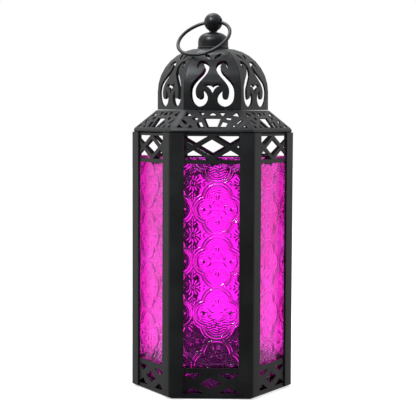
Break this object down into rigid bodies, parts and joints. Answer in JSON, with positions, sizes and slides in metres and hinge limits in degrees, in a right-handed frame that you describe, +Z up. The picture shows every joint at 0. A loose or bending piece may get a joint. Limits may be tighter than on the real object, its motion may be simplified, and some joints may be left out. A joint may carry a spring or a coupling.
{
  "type": "candle lantern",
  "caption": "Hexagonal hanging candle lantern of pierced black sheet metal with a scrollwork dome, pressed magenta glass panes, a hinged latched door and a carrying ring.",
  "frame": {"origin": "centre of the flat underside of the base tray", "axes": "+Z up through the finial; -Y is the front face, +Y the door; X across two opposite corner posts"},
  "size_m": [0.1112, 0.1023, 0.2593],
  "materials": {
    "wall_paint": "satin black powder coat on pierced sheet steel",
    "dome_paint": "satin black paint on pressed sheet steel",
    "crown_paint": "satin black paint",
    "ring_paint": "satin black paint on steel wire",
    "hinge_paint": "satin black paint",
    "magenta_glass": "clear magenta pressed glass with raised pattern"
  },
  "bodies": {
    "lantern": {"base_tray": "wall_paint", "corner_post_1": "wall_paint", "corner_post_2": "wall_paint", "corner_post_3": "wall_paint", "corner_post_4": "wall_paint", "corner_post_5": "wall_paint", "corner_post_6": "wall_paint", "cornice": "wall_paint", "crown_cap": "crown_paint", "crown_nut": "crown_paint", "crown_washer": "crown_paint", "dome_petal_1": "dome_paint", "dome_petal_2": "dome_paint", "dome_petal_3": "dome_paint", "dome_petal_4": "dome_paint", "dome_petal_5": "dome_paint", "dome_petal_6": "dome_paint", "finial_ball": "crown_paint", "glass_clip_1": "wall_paint", "glass_clip_2": "wall_paint", "glass_clip_3": "wall_paint", "glass_clip_4": "wall_paint", "glass_clip_5": "wall_paint", "glass_curb": "wall_paint", "glass_pane_1": "magenta_glass", "glass_pane_2": "magenta_glass", "glass_pane_3": "magenta_glass", "glass_pane_4": "magenta_glass", "glass_pane_5": "magenta_glass", "lower_hinge_pin": "hinge_paint", "lower_hinge_post_leaf": "hinge_paint", "side_panel_1": "wall_paint", "side_panel_2": "wall_paint", "side_panel_3": "wall_paint", "side_panel_4": "wall_paint", "side_panel_5": "wall_paint", "upper_hinge_pin": "hinge_paint", "upper_hinge_post_leaf": "hinge_paint"},
    "door": {"door_clip_low": "wall_paint", "door_clip_top": "wall_paint", "door_glass": "magenta_glass", "door_panel": "wall_paint", "door_retainer": "wall_paint", "lower_hinge_door_leaf": "hinge_paint", "upper_hinge_door_leaf": "hinge_paint"},
    "latch": {"latch_cam": "hinge_paint", "latch_knob": "hinge_paint"},
    "ring": {"carrying_ring": "ring_paint"}
  },
  "joints": [
    {"name": "door_hinge", "type": "hinge", "parent": "lantern", "child": "door", "pos_m": [-0.02864, 0.0518, 0.089], "axis": [0, 0, 1], "range_deg": [0, 110]},
    {"name": "latch_turn", "type": "hinge", "parent": "door", "child": "latch", "pos_m": [0.0214, 0.0496, 0.089], "axis": [0, -1, 0], "range_deg": [0, 90]},
    {"name": "ring_swing", "type": "hinge", "parent": "lantern", "child": "ring", "pos_m": [0, 0, 0.2529], "axis": [-0.891, 0.454, 0], "range_deg": [0, 260]}
  ]
}
